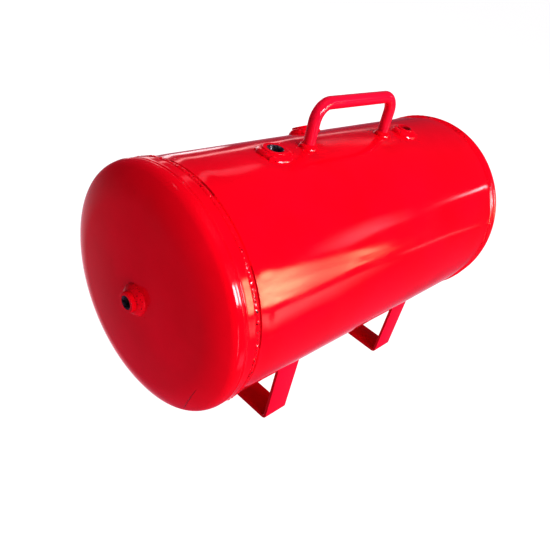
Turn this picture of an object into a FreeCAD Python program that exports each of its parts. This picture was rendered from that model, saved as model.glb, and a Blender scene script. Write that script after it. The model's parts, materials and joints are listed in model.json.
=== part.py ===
import FreeCAD, Part
import math
import os

import Sketcher

# Air receiver tank: a rolled shell closed by two dished heads, with weld-in
# ports, a bar handle on top and two bent strap feet below.
# X runs along the tank, from the head with the port (-X) to the plain head,
# Y runs across it and Z is up. The origin is on the floor, under the middle of
# the whole length.

DIMENSIONS = {
    "shell_radius": 125.0,
    "wall": 2.5,
    "shell_middle": 8.5,
    "joint_offset": 226.0,
    "axis_height": 195.0,
    "root_gap": 2.4,
    "front_skirt": 17.5,
    "rear_skirt": 11.5,
    "head_flare": 1.2,
    "knuckle": 13.0,
    "shoulder": 60.0,
    "crown": 1200.0,
    "crown_edge": 92.0,
    "joggle_run": 6.0,
    "tongue": 14.0,
    "girth_bead_half": 3.5,
    "girth_bead_crown": 1.4,
    "seam_bead_half": 4.0,
    "seam_bead_crown": 1.2,
    "seam_angle": 110.0,
    "port_fit": 0.25,
    "port_edge": 0.8,
    "large_bore": 7.475,
    "large_mouth": 8.8,
    "large_body": 13.5,
    "large_depth": 8.0,
    "large_toe": 19.5,
    "small_bore": 5.723,
    "small_mouth": 7.0,
    "small_body": 10.5,
    "small_depth": 5.0,
    "small_toe": 17.0,
    "top_front_place": -112.5,
    "top_front_rise": 5.0,
    "top_front_fillet": 4.2,
    "top_rear_place": 116.5,
    "top_rear_angle": 2.2,
    "top_rear_rise": 6.0,
    "top_rear_fillet": 4.8,
    "side_place": 5.5,
    "side_angle": 30.0,
    "side_rise": 7.5,
    "side_fillet": 5.6,
    "drain_place": 0.0,
    "drain_rise": 6.0,
    "drain_fillet": 4.8,
    "front_head_rise": 10.5,
    "front_head_fillet": 6.0,
    "handle_place": 6.2,
    "handle_span": 135.4,
    "handle_rise": 44.5,
    "handle_bend": 18.0,
    "bar_radius": 6.5,
    "bar_toe": 10.5,
    "bar_fillet": 4.0,
    "strap_width": 37.0,
    "strap_thickness": 4.0,
    "strap_bend": 2.0,
    "foot_half_span": 80.0,
    "front_foot_place": -99.5,
    "rear_foot_place": 142.5,
    "foot_bead": 5.0,
    "foot_bead_inset": 2.0,
}


class Size:
    """A length that knows both its number and the formula that gives it."""

    def __init__(self, value, formula):
        self.value = value
        self.formula = formula

    def __add__(self, other):
        return join(self, "+", other, self.value + number(other))

    def __sub__(self, other):
        return join(self, "-", other, self.value - number(other))

    def __mul__(self, other):
        return join(self, "*", other, self.value * number(other))

    def __truediv__(self, other):
        return join(self, "/", other, self.value / number(other))

    def __neg__(self):
        return Size(-self.value, f"(0 - {self.formula})")


def number(item):
    """The plain number of a Size or of a number."""
    return item.value if isinstance(item, Size) else float(item)


def formula(item):
    """The formula of a Size or of a number."""
    return item.formula if isinstance(item, Size) else str(item)


def join(first, sign, second, value):
    """The Size that two lengths make together."""
    return Size(value, f"({first.formula} {sign} {formula(second)})")


def square_root(size):
    """The square root of a Size."""
    return Size(math.sqrt(size.value), f"sqrt({size.formula})")


def leg(longest, other):
    """The third side of a right triangle, from its longest side and one other."""
    return square_root(longest * longest - other * other)


doc = FreeCAD.newDocument("air_receiver_tank")
sheet = doc.addObject("Spreadsheet::Sheet", "dims")
for row, (alias, value) in enumerate(DIMENSIONS.items(), start=1):
    sheet.set(f"A{row}", alias.replace("_", " "))
    sheet.set(f"B{row}", str(value))
    sheet.setAlias(f"B{row}", alias)
doc.recompute()
dim = {alias: Size(value, f"dims.{alias}") for alias, value in DIMENSIONS.items()}

radius = dim["shell_radius"]
inner_radius = radius - dim["wall"]
half_gap = dim["root_gap"] / 2
front_joint = dim["shell_middle"] - dim["joint_offset"]
rear_joint = dim["shell_middle"] + dim["joint_offset"]


def bind(item, path, size):
    """Tie one property of an object to the sheet."""
    item.setExpression(path, formula(size))


def place(item, along, height, axis=(0, 0, 1), angle=0.0):
    """Put an object at a distance along the tank and a height, turned about an axis."""
    turn = FreeCAD.Rotation(FreeCAD.Vector(*axis), number(angle))
    base = FreeCAD.Vector(number(along), 0, number(height))
    item.Placement = FreeCAD.Placement(base, turn)
    bind(item, "Placement.Base.x", along)
    bind(item, "Placement.Base.z", height)
    if isinstance(angle, Size):
        bind(item, "Placement.Rotation.Angle", angle)


def plane_sketch(body, role, name):
    """A sketch on one of the body's own origin planes."""
    plane = next(item for item in body.Origin.OriginFeatures if item.Role == role)
    sketch = body.newObject("Sketcher::SketchObject", name)
    sketch.AttachmentSupport = [(plane, "")]
    sketch.MapMode = "FlatFace"
    return sketch


def pin_point(sketch, edge, end, corner):
    """Hold one end of an edge at a corner given from the sketch's origin."""
    for size, kind, axis in zip(corner, ("DistanceX", "DistanceY"), (-2, -1)):
        if number(size) == 0:
            sketch.addConstraint(Sketcher.Constraint("PointOnObject", edge, end, axis))
            continue
        rule = Sketcher.Constraint(kind, -1, 1, edge, end, number(size))
        index = sketch.addConstraint(rule)
        bind(sketch, f"Constraints[{index}]", size)


def arc_between(start, stop, bend):
    """The short arc from start to stop, turning left for a positive bend."""
    reach = abs(bend)
    chord = stop - start
    offset = math.sqrt(reach * reach - chord.Length * chord.Length / 4)
    side = FreeCAD.Vector(-chord.y, chord.x, 0).normalize()
    centre = (start + stop) * 0.5 + side * math.copysign(offset, bend)
    first, last = (start, stop) if bend > 0 else (stop, start)
    from_angle = math.atan2(first.y - centre.y, first.x - centre.x)
    to_angle = math.atan2(last.y - centre.y, last.x - centre.x)
    circle = Part.Circle(centre, FreeCAD.Vector(0, 0, 1), reach)
    return Part.ArcOfCircle(circle, from_angle, to_angle)


def draw(sketch, corners, closed=True):
    """Draw edges through corners (x, y[, bend]); bend is the radius of the edge that follows."""
    count = len(corners) if closed else len(corners) - 1
    points = [FreeCAD.Vector(number(corner[0]), number(corner[1]), 0) for corner in corners]
    starts = []
    for index in range(count):
        start = points[index]
        stop = points[(index + 1) % len(points)]
        bend = corners[index][2] if len(corners[index]) == 3 else None
        if bend is None:
            edge = sketch.addGeometry(Part.LineSegment(start, stop))
            starts.append((edge, 1))
            continue
        edge = sketch.addGeometry(arc_between(start, stop, number(bend)))
        starts.append((edge, 1 if number(bend) > 0 else 2))
        rule = Sketcher.Constraint("Radius", edge, abs(number(bend)))
        radius_rule = sketch.addConstraint(rule)
        bind(sketch, f"Constraints[{radius_rule}]", bend if number(bend) > 0 else -bend)
    for index in range(count):
        pin_point(sketch, *starts[index], corners[index][:2])
        if index + 1 < count or closed:
            edge, end = starts[index]
            following = starts[(index + 1) % count]
            rule = Sketcher.Constraint("Coincident", edge, 3 - end, *following)
            sketch.addConstraint(rule)
    if not closed:
        edge, end = starts[-1]
        pin_point(sketch, edge, 3 - end, corners[-1][:2])


def new_body(name):
    """An empty PartDesign body with its label."""
    body = doc.addObject("PartDesign::Body", name)
    body.Label = name
    return body


def turned(name, role, corners, axis):
    """A body of revolution about an axis of its profile's sketch."""
    body = new_body(name)
    sketch = plane_sketch(body, role, f"{name}_profile")
    draw(sketch, corners)
    feature = body.newObject("PartDesign::Revolution", f"{name}_turn")
    feature.Profile = sketch
    feature.ReferenceAxis = (sketch, [axis])
    feature.Angle = 360
    return body


def padded(name, corners, length):
    """A body with one section across the tank, padded evenly both ways along it."""
    body = new_body(name)
    sketch = plane_sketch(body, "YZ_Plane", f"{name}_section")
    draw(sketch, corners)
    feature = body.newObject("PartDesign::Pad", f"{name}_pad")
    feature.Profile = sketch
    feature.Length = number(length)
    feature.Midplane = True
    bind(feature, "Length", length)
    return body


def cylinder(name, size, length, along, height, axis=(0, 1, 0), angle=90.0):
    """A round bar from a point on the tank's axis."""
    bar = doc.addObject("Part::Cylinder", name)
    bar.Radius = number(size)
    bar.Height = number(length)
    bind(bar, "Radius", size)
    bind(bar, "Height", length)
    place(bar, along, height, axis, angle)
    return bar


def cut(name, base, tool):
    """One object less another."""
    result = doc.addObject("Part::Cut", name)
    result.Base = base
    result.Tool = tool
    result.Label = name
    return result


def head(name, skirt, hole):
    """A dished head with a joggled tongue, as corners from the joint plane outwards."""
    wall = dim["wall"]
    flared = radius + dim["head_flare"]
    knuckle = dim["knuckle"]
    shoulder = dim["shoulder"]
    crown = dim["crown"]
    # Each tangent point lies where both of its arcs lean by the same angle.
    low_sine = dim["crown_edge"] / crown
    low_cosine = leg(Size(1.0, "1"), low_sine)
    spread = flared - knuckle + shoulder * low_sine - dim["crown_edge"]
    high_sine = spread / (shoulder - knuckle)
    high_cosine = leg(Size(1.0, "1"), high_sine)
    knuckle_height = flared - knuckle
    shoulder_middle = (
        skirt + (knuckle - shoulder) * high_cosine,
        knuckle_height + (knuckle - shoulder) * high_sine,
    )
    crown_middle = shoulder_middle[0] + (shoulder - crown) * low_cosine
    corners = [
        (half_gap, radius),
        (skirt, flared, -knuckle),
        (skirt + knuckle * high_cosine, knuckle_height + knuckle * high_sine, -shoulder),
        (shoulder_middle[0] + shoulder * low_cosine, dim["crown_edge"], -crown),
        (crown_middle + leg(crown, hole), hole),
        (crown_middle + leg(crown - wall, hole), hole, crown - wall),
        (
            shoulder_middle[0] + (shoulder - wall) * low_cosine,
            shoulder_middle[1] + (shoulder - wall) * low_sine,
            shoulder - wall,
        ),
        (
            skirt + (knuckle - wall) * high_cosine,
            knuckle_height + (knuckle - wall) * high_sine,
            knuckle - wall,
        ),
        (skirt, flared - wall),
        (half_gap + dim["joggle_run"], inner_radius),
        (Size(0.0, "0"), inner_radius - wall),
        (-dim["tongue"], inner_radius - wall),
        (-dim["tongue"], inner_radius - dim["port_fit"]),
        (half_gap, inner_radius - dim["port_fit"]),
    ]
    return turned(name, "XY_Plane", corners, "H_Axis"), crown_middle + crown


def girth_weld(name, skirt):
    """The round bead that fills the gap between the shell and a head."""
    half = dim["girth_bead_half"]
    crown = dim["girth_bead_crown"]
    head_side = radius + dim["head_flare"] * (half - half_gap) / (skirt - half_gap)
    cap = (half * half + crown * crown) / (crown * 2)
    corners = [
        (-half_gap, inner_radius),
        (half_gap, inner_radius),
        (half_gap, radius),
        (half, head_side, cap),
        (-half, radius),
        (-half_gap, radius),
    ]
    return turned(name, "XY_Plane", corners, "H_Axis")


def boss(name, kind, seat):
    """A port body with a plain bore at the thread's minor diameter and a countersunk mouth."""
    bore = dim[f"{kind}_bore"]
    mouth = dim[f"{kind}_mouth"]
    outside = dim[f"{kind}_body"]
    edge = dim["port_edge"]
    top = seat + dim[f"{name}_rise"]
    bottom = seat - dim[f"{kind}_depth"]
    corners = [
        (bore, bottom),
        (outside, bottom),
        (outside, top - edge),
        (outside - edge, top),
        (mouth, top),
        (bore, top - mouth + bore),
    ]
    return turned(f"{name}_port", "XZ_Plane", corners, "V_Axis")


def fillet_ring(name, inside, toe, rise, seat):
    """A cone-shaped weld bead about the local Z axis, its foot still below the seat."""
    sunk = 3.0
    slope = (toe - inside) / rise
    corners = [
        (inside, seat - sunk),
        (toe + slope * sunk, seat - sunk),
        (inside, seat + rise),
    ]
    return turned(name, "XZ_Plane", corners, "V_Axis")


# Rolled shell, open along its seam, with a hole for each port.
shell_length = (dim["joint_offset"] - half_gap) * 2
shell_start = front_joint + half_gap
shell_blank = cylinder("shell_blank", radius, shell_length, shell_start, dim["axis_height"])
shell_inside = cylinder("shell_inside", inner_radius, shell_length, shell_start, dim["axis_height"])
seam_slot = doc.addObject("Part::Box", "seam_slot")
seam_slot.Length = shell_length.value
seam_slot.Width = dim["root_gap"].value
seam_slot.Height = radius.value * 2
bind(seam_slot, "Length", shell_length)
bind(seam_slot, "Width", dim["root_gap"])
bind(seam_slot, "Height", radius * 2)
place(seam_slot, shell_start, dim["axis_height"], (-1, 0, 0), dim["seam_angle"])
# The slot's middle lies on the turned Z axis, so its corner is half a gap aside.
seam_slot.setExpression("Placement.Base.y", "0 - dims.root_gap / 2 * cos(dims.seam_angle)")
seam_slot.setExpression(
    "Placement.Base.z", "dims.axis_height + dims.root_gap / 2 * sin(dims.seam_angle)"
)

# Every port through the shell: kind of boss, and the axis and angle of the turn
# that leans it away from straight up.
SHELL_PORTS = {
    "top_front": ("large", (1, 0, 0), 0.0),
    "top_rear": ("small", (1, 0, 0), dim["top_rear_angle"]),
    "side": ("large", (-1, 0, 0), dim["side_angle"]),
    "drain": ("small", (1, 0, 0), 180.0),
}
shell_cutters = [shell_inside, seam_slot]
for name, (kind, axis, lean) in SHELL_PORTS.items():
    hole_radius = dim[f"{kind}_body"] + dim["port_fit"]
    along = dim["shell_middle"] + dim[f"{name}_place"]
    hole = cylinder(
        f"{name}_hole", hole_radius, radius * 2, along, dim["axis_height"], axis, lean
    )
    shell_cutters.append(hole)
shell_cutter = doc.addObject("Part::MultiFuse", "shell_cutter")
shell_cutter.Shapes = shell_cutters
parts = [cut("shell", shell_blank, shell_cutter)]

# Heads, turned about the tank's axis.
front_head, front_reach = head(
    "front_head", dim["front_skirt"], dim["small_body"] + dim["port_fit"]
)
rear_head = head("rear_head", dim["rear_skirt"], Size(0.0, "0"))[0]
place(front_head, front_joint, dim["axis_height"], (0, 0, 1), 180.0)
place(rear_head, rear_joint, dim["axis_height"])
parts += [front_head, rear_head]

# Girth beads and the bead along the shell's seam.
front_bead = girth_weld("front_girth_weld", dim["front_skirt"])
rear_bead = girth_weld("rear_girth_weld", dim["rear_skirt"])
place(front_bead, front_joint, dim["axis_height"], (0, 0, 1), 180.0)
place(rear_bead, rear_joint, dim["axis_height"])
seam_half = dim["seam_bead_half"]
seam_flank = leg(radius, seam_half)
seam_top = radius + dim["seam_bead_crown"] - seam_flank
seam_cap = (seam_half * seam_half + seam_top * seam_top) / (seam_top * 2)
seam_corners = [
    (-half_gap, leg(inner_radius, half_gap), -inner_radius),
    (half_gap, leg(inner_radius, half_gap)),
    (half_gap, leg(radius, half_gap), -radius),
    (seam_half, seam_flank, seam_cap),
    (-seam_half, seam_flank, -radius),
    (-half_gap, leg(radius, half_gap)),
]
seam_length = (dim["joint_offset"] - dim["girth_bead_half"]) * 2
seam_bead = padded("shell_seam_weld", seam_corners, seam_length)
place(seam_bead, dim["shell_middle"], dim["axis_height"], (-1, 0, 0), dim["seam_angle"])
parts += [front_bead, rear_bead, seam_bead]

# Solids of the tank's outside, which trim what stands on it.
envelope_length = dim["joint_offset"] * 2
shell_envelope = cylinder("shell_envelope", radius, envelope_length, front_joint, dim["axis_height"])
crown_envelope = doc.addObject("Part::Sphere", "crown_envelope")
crown_envelope.Radius = dim["crown"].value
bind(crown_envelope, "Radius", dim["crown"])
place(crown_envelope, front_joint - front_reach + dim["crown"], dim["axis_height"])

# Ports through the shell and their weld beads.
for name, (kind, axis, lean) in SHELL_PORTS.items():
    along = dim["shell_middle"] + dim[f"{name}_place"]
    port = boss(name, kind, radius)
    ring = fillet_ring(
        f"{name}_ring",
        dim[f"{kind}_body"],
        dim[f"{kind}_toe"],
        dim[f"{name}_fillet"],
        radius,
    )
    for item in (port, ring):
        place(item, along, dim["axis_height"], axis, lean)
    parts += [port, cut(f"{name}_port_weld", ring, shell_envelope)]

# Port in the middle of the front head.
head_port = boss("front_head", "small", front_reach)
head_ring = fillet_ring(
    "front_head_ring",
    dim["small_body"],
    dim["small_toe"],
    dim["front_head_fillet"],
    front_reach,
)
for item in (head_port, head_ring):
    place(item, front_joint, dim["axis_height"], (0, -1, 0), 90.0)
parts += [head_port, cut("front_head_port_weld", head_ring, crown_envelope)]

# Carry handle: one bent bar whose legs stand on top of the shell.
handle_bar = new_body("handle_bar")
half_span = dim["handle_span"] / 2
bend = dim["handle_bend"]
bar_top = radius + dim["handle_rise"]
bar_start = radius - dim["bar_radius"]
path = plane_sketch(handle_bar, "XZ_Plane", "handle_path")
path_corners = [
    (-half_span, bar_start),
    (-half_span, bar_top - bend, -bend),
    (-half_span + bend, bar_top),
    (half_span - bend, bar_top, -bend),
    (half_span, bar_top - bend),
    (half_span, bar_start),
]
draw(path, path_corners, closed=False)
section = plane_sketch(handle_bar, "XY_Plane", "handle_section")
section.AttachmentOffset.Base.z = bar_start.value
bind(section, "AttachmentOffset.Base.z", bar_start)
middle = FreeCAD.Vector(-half_span.value, 0, 0)
circle = Part.Circle(middle, FreeCAD.Vector(0, 0, 1), dim["bar_radius"].value)
ring_edge = section.addGeometry(circle)
pin_point(section, ring_edge, 3, (-half_span, 0))
radius_rule = section.addConstraint(
    Sketcher.Constraint("Radius", ring_edge, dim["bar_radius"].value)
)
bind(section, f"Constraints[{radius_rule}]", dim["bar_radius"])
sweep = handle_bar.newObject("PartDesign::AdditivePipe", "handle_sweep")
sweep.Profile = section
sweep.Spine = (path, [f"Edge{index}" for index in range(1, len(path_corners))])
place(handle_bar, dim["shell_middle"] + dim["handle_place"], dim["axis_height"])
parts.append(cut("carry_handle", handle_bar, shell_envelope))
for name, side in (("handle_front_weld", -half_span), ("handle_rear_weld", half_span)):
    ring = fillet_ring(
        f"{name}_ring", dim["bar_radius"], dim["bar_toe"], dim["bar_fillet"], radius
    )
    place(ring, dim["shell_middle"] + dim["handle_place"] + side, dim["axis_height"])
    parts.append(cut(name, ring, shell_envelope))

# Feet: bent straps with legs up to the shell, and a bead outside each leg.
span = dim["foot_half_span"]
thick = dim["strap_thickness"]
inner_bend = dim["strap_bend"]
outer_bend = inner_bend + thick
leg_top = dim["axis_height"] - leg(radius, span)
leg_top_inside = dim["axis_height"] - leg(radius, span - thick)
foot_half = [
    (span - outer_bend, 0, outer_bend),
    (span, outer_bend),
    (span, leg_top, -radius),
    (span - thick, leg_top_inside),
    (span - thick, outer_bend, -inner_bend),
    (span - outer_bend, thick),
]
mirrored_half = []
for index, corner in reversed(list(enumerate(foot_half))):
    before = foot_half[index - 1]
    turn = before[2:] if index > 0 else ()
    mirrored_half.append((-corner[0], corner[1], *turn))
bead_reach = span + dim["foot_bead"]
bead_corners = [
    (span, leg_top - dim["foot_bead"]),
    (bead_reach, dim["axis_height"] - leg(radius, bead_reach), -radius),
    (span, leg_top),
]
bead_length = dim["strap_width"] - dim["foot_bead_inset"] * 2
for side in ("front", "rear"):
    along = dim["shell_middle"] + dim[f"{side}_foot_place"]
    foot = padded(f"{side}_foot", foot_half + mirrored_half, dim["strap_width"])
    place(foot, along, Size(0.0, "0"))
    parts.append(foot)
    for hand, angle in (("left", 180.0), ("right", 0.0)):
        bead = padded(f"{side}_foot_{hand}_weld", bead_corners, bead_length)
        place(bead, along, Size(0.0, "0"), (0, 0, 1), angle)
        parts.append(bead)

doc.recompute()

for item in doc.Objects:
    if "Invalid" in item.State or "Error" in item.State:
        raise RuntimeError(f"{item.Label} failed: {item.State}")
for item in parts:
    if item.Shape.isNull() or not item.Shape.isValid():
        raise RuntimeError(f"{item.Label} has no valid shape")
    if len(item.Shape.Solids) != 1:
        raise RuntimeError(f"{item.Label} has {len(item.Shape.Solids)} solids")

os.makedirs("parts", exist_ok=True)
for item in parts:
    item.Shape.exportStep(f"parts/{item.Label}.step")
    box = item.Shape.BoundBox
    print(
        f"{item.Label:24s} volume {item.Shape.Volume:11.1f} "
        f"x {box.XMin:8.2f} {box.XMax:8.2f} y {box.YMin:8.2f} {box.YMax:8.2f} "
        f"z {box.ZMin:8.2f} {box.ZMax:8.2f}"
    )
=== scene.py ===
import json
import math
import random

import bmesh
import bpy
from mathutils import Matrix, Vector, noise


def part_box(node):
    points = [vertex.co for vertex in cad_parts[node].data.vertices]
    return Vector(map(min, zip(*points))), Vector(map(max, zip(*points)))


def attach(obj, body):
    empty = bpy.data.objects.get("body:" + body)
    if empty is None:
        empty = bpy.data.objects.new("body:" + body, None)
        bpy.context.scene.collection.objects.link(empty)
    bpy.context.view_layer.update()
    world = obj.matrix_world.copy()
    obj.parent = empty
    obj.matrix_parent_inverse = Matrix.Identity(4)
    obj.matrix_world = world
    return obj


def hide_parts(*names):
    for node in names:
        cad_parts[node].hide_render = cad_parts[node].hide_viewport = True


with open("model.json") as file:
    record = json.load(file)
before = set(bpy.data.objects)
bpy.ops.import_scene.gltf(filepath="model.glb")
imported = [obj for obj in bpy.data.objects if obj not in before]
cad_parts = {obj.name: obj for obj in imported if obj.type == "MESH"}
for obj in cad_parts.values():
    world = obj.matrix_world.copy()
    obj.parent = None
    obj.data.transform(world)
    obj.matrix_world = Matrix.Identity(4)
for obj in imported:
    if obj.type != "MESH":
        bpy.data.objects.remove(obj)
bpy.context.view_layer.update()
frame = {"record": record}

# Everything below is in metres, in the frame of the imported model: X along the
# tank, Z up. Places come from the CAD boxes and mounts; MM turns millimetres
# of surface detail into metres.
MM = 0.001
TURN = 2 * math.pi
WALL = 2.5 * MM
WELD_GAP = 1.2 * MM  # from a joint plane to the plate on each side of it
FRONT_FLARE = 1.2 * MM
REAR_FLARE = 0.3 * MM
KNUCKLE = 13 * MM
SHOULDER = 60 * MM
CROWN = 1200 * MM
CROWN_EDGE = 92 * MM
FRONT_SKIRT = 17.5 * MM
REAR_SKIRT = 11.5 * MM
SEAM_ANGLE = math.radians(110)

mounts = {mount["name"]: mount for mount in frame["record"]["mounts"]}
shell_low, shell_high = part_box("shell")
radius = round((shell_high.y - shell_low.y) / 2, 4)
axis_height = mounts["front_head_port"]["pos_m"][2]
front_joint = shell_low.x - WELD_GAP
rear_joint = shell_high.x + WELD_GAP


def clamp(value):
    """A value held between 0 and 1."""
    return max(0.0, min(1.0, value))


def link_object(name, data):
    """A new object in the scene."""
    item = bpy.data.objects.new(name, data)
    bpy.context.scene.collection.objects.link(item)
    return item


# ---------------------------------------------------------------- materials


def new_material(name):
    """A material, its node tree and its main shader."""
    material = bpy.data.materials.new(name)
    material.use_nodes = True
    tree = material.node_tree
    return material, tree, tree.nodes["Principled BSDF"]


def add_node(tree, kind, **values):
    """A shader node with its inputs and settings."""
    node = tree.nodes.new(kind)
    for key, value in values.items():
        if key in node.inputs:
            node.inputs[key].default_value = value
        else:
            setattr(node, key, value)
    return node


def add_noise(tree, place, scale, detail=2.0, stretch=(1.0, 1.0, 1.0)):
    """Noise over the object's own coordinates, scale in cells per metre."""
    mapping = add_node(tree, "ShaderNodeMapping")
    mapping.inputs["Scale"].default_value = stretch
    tree.links.new(place, mapping.inputs["Vector"])
    texture = add_node(tree, "ShaderNodeTexNoise", Scale=scale, Detail=detail)
    tree.links.new(mapping.outputs["Vector"], texture.inputs["Vector"])
    return texture.outputs["Fac"]


def remap(tree, value, low, high, new_low, new_high, smooth=False):
    """A value moved from one range to another."""
    kind = "SMOOTHSTEP" if smooth else "LINEAR"
    node = add_node(tree, "ShaderNodeMapRange", interpolation_type=kind)
    for name, number in (
        ("From Min", low),
        ("From Max", high),
        ("To Min", new_low),
        ("To Max", new_high),
    ):
        node.inputs[name].default_value = number
    tree.links.new(value, node.inputs["Value"])
    return node.outputs["Result"]


def combine(tree, operation, first, second):
    """Two values, or a value and a number, put together."""
    node = add_node(tree, "ShaderNodeMath", operation=operation)
    for socket, item in zip(node.inputs, (first, second)):
        if isinstance(item, (int, float)):
            socket.default_value = item
        else:
            tree.links.new(item, socket)
    return node.outputs["Value"]


def blend_colours(tree, share, first, second):
    """Two colours mixed by a share."""
    node = add_node(tree, "ShaderNodeMix", data_type="RGBA")
    for socket, item in ((node.inputs[6], first), (node.inputs[7], second)):
        if isinstance(item, tuple):
            socket.default_value = item
        else:
            tree.links.new(item, socket)
    tree.links.new(share, node.inputs["Factor"])
    return node.outputs[2]


def add_bump(tree, height, distance, before=None):
    """A bump of a height in metres, on top of an earlier one."""
    node = add_node(tree, "ShaderNodeBump", Distance=distance)
    tree.links.new(height, node.inputs["Height"])
    if before is not None:
        tree.links.new(before, node.inputs["Normal"])
    return node.outputs["Normal"]


def enamel(name, peel, lumps, dust, worn, painted_sheen=(0.0, 0.0), shade=1.0, slag=0.0):
    """Glossy red enamel: orange peel, a slight unevenness of colour, dust nibs and dull spots.

    Peel and lumps are heights in metres, dust is nibs per metre, worn is how far
    the thin places darken, and slag is how much of it shows as dark specks. The
    green and blue added to the red are a painted pinkish reflection, and shade
    darkens the whole colour as painted shade.
    """
    material, tree, shader = new_material(name)
    place = add_node(tree, "ShaderNodeTexCoord").outputs["Object"]

    broad = add_noise(tree, place, 11.0, 3.0)
    red = blend_colours(
        tree,
        remap(tree, broad, 0.35, 0.65, 0.0, 1.0),
        (0.72 * shade, 0.0006 + painted_sheen[0], 0.0170 * shade + painted_sheen[1], 1.0),
        (0.82 * shade, 0.0009 + painted_sheen[0], 0.0240 * shade + painted_sheen[1], 1.0),
    )
    thin = add_noise(tree, place, 160.0, 4.0)
    thin_share = remap(tree, thin, 0.60, 0.78, 0.0, worn, smooth=True)
    red = blend_colours(tree, thin_share, red, (0.44 * shade, 0.0006, 0.0080, 1.0))
    if slag > 0:
        specks = add_noise(tree, place, 520.0, 2.0)
        specks = remap(tree, specks, 0.66 - slag, 0.70 - slag, 0.0, 0.92)
        patches = remap(tree, add_noise(tree, place, 34.0, 1.0), 0.50, 0.56, 0.0, 1.0)
        specks = combine(tree, "MULTIPLY", specks, patches)
        red = blend_colours(tree, specks, red, (0.035, 0.004, 0.005, 1.0))
    tree.links.new(red, shader.inputs["Base Color"])

    haze = add_noise(tree, place, 26.0, 4.0)
    streaks = add_noise(tree, place, 60.0, 3.0, (0.12, 1.0, 1.0))
    dull = combine(
        tree,
        "ADD",
        remap(tree, haze, 0.40, 0.70, 0.085, 0.15),
        remap(tree, streaks, 0.60, 0.80, 0.0, 0.06),
    )
    tree.links.new(dull, shader.inputs["Roughness"])

    cells = add_node(tree, "ShaderNodeTexVoronoi", Scale=dust, feature="F1")
    tree.links.new(place, cells.inputs["Vector"])
    nibs = remap(tree, cells.outputs["Distance"], 0.0, 0.045, 1.0, 0.0, smooth=True)
    relief = add_bump(tree, add_noise(tree, place, 330.0, 2.0), peel)
    relief = add_bump(tree, add_noise(tree, place, 900.0, 3.0), lumps, before=relief)
    relief = add_bump(tree, nibs, 0.00009, before=relief)
    tree.links.new(relief, shader.inputs["Normal"])
    shader.inputs["IOR"].default_value = 1.38
    return material


def bare_steel(name):
    """Cut steel with dark oil and a little rust on it."""
    material, tree, shader = new_material(name)
    place = add_node(tree, "ShaderNodeTexCoord").outputs["Object"]
    oil = add_noise(tree, place, 420.0, 4.0)
    steel = blend_colours(
        tree,
        remap(tree, oil, 0.38, 0.66, 0.0, 1.0),
        (0.12, 0.12, 0.135, 1.0),
        (0.52, 0.53, 0.57, 1.0),
    )
    rust = add_noise(tree, place, 210.0, 5.0)
    share = remap(tree, rust, 0.60, 0.72, 0.0, 0.75, smooth=True)
    steel = blend_colours(tree, share, steel, (0.13, 0.045, 0.018, 1.0))
    tree.links.new(steel, shader.inputs["Base Color"])
    shine = remap(tree, oil, 0.30, 0.70, 0.46, 0.20)
    shine = combine(tree, "ADD", shine, combine(tree, "MULTIPLY", share, 0.35))
    tree.links.new(shine, shader.inputs["Roughness"])
    bare = remap(tree, share, 0.0, 0.75, 0.95, 0.2)
    tree.links.new(bare, shader.inputs["Metallic"])
    scored = add_noise(tree, place, 1500.0, 2.0)
    tree.links.new(add_bump(tree, scored, 0.00003), shader.inputs["Normal"])
    return material


tank_enamel = enamel("tank_enamel", 0.000010, 0.0000012, 46.0, 0.10)
weld_enamel = enamel("weld_enamel", 0.000060, 0.000020, 150.0, 0.55, slag=0.06)
fillet_enamel = enamel("fillet_enamel", 0.000060, 0.000020, 150.0, 0.55, slag=0.012)
port_enamel = enamel("port_enamel", 0.000022, 0.000008, 90.0, 0.25)
# The feet's and the handle's enamels have green and blue added: a painted pinkish reflection.
bracket_enamel = enamel("bracket_enamel", 0.000020, 0.000006, 80.0, 0.20, (0.001, 0.022))
grip_enamel = enamel("grip_enamel", 0.000020, 0.000006, 80.0, 0.20, (0.010, 0.035))
# A darker red: painted shade on the shell's end steps and the feet's straps, a painted dark
# reflection line on the front head, and overspray in the rear top port's bore.
painted_shade_and_overspray_enamel = enamel("painted_shade_and_overspray_enamel", 0.000030, 0.000010, 80.0, 0.60, shade=0.58)
bare_thread = bare_steel("bare_thread")


# ------------------------------------------------------------------- pieces


def finish_piece(name, mesh, material, nodes, sharp=40.0):
    """Link a mesh as a piece of the tank that stands for CAD nodes, sharp past an angle."""
    shape = bmesh.new()
    shape.from_mesh(mesh)
    bmesh.ops.remove_doubles(shape, verts=shape.verts, dist=1e-6)
    bmesh.ops.recalc_face_normals(shape, faces=shape.faces)
    shape.to_mesh(mesh)
    shape.free()
    for face in mesh.polygons:
        face.use_smooth = True
    mesh.set_sharp_from_angle(angle=math.radians(sharp))
    mesh.materials.clear()
    mesh.materials.append(material)
    piece = link_object(name, mesh)
    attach(piece, "root")
    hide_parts(*nodes)
    return piece


def grid_mesh(name, rows, wrap_rows=False, wrap_columns=True):
    """A mesh of quads over rows of points."""
    width = len(rows[0])
    points = [point for row in rows for point in row]
    faces = []
    for i in range(len(rows) if wrap_rows else len(rows) - 1):
        below = (i + 1) % len(rows)
        for j in range(width if wrap_columns else width - 1):
            k = (j + 1) % width
            faces.append((i * width + j, i * width + k, below * width + k, below * width + j))
    mesh = bpy.data.meshes.new(name)
    mesh.from_pydata(points, [], faces)
    mesh.update()
    return mesh


def join_meshes(mesh, others):
    """Other meshes added to the first."""
    shape = bmesh.new()
    shape.from_mesh(mesh)
    for other in others:
        shape.from_mesh(other)
        bpy.data.meshes.remove(other)
    shape.to_mesh(mesh)
    shape.free()
    return mesh


def spaced(start, stop, count):
    """Even steps from start to stop, both included."""
    return [start + (stop - start) * i / (count - 1) for i in range(count)]


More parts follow.
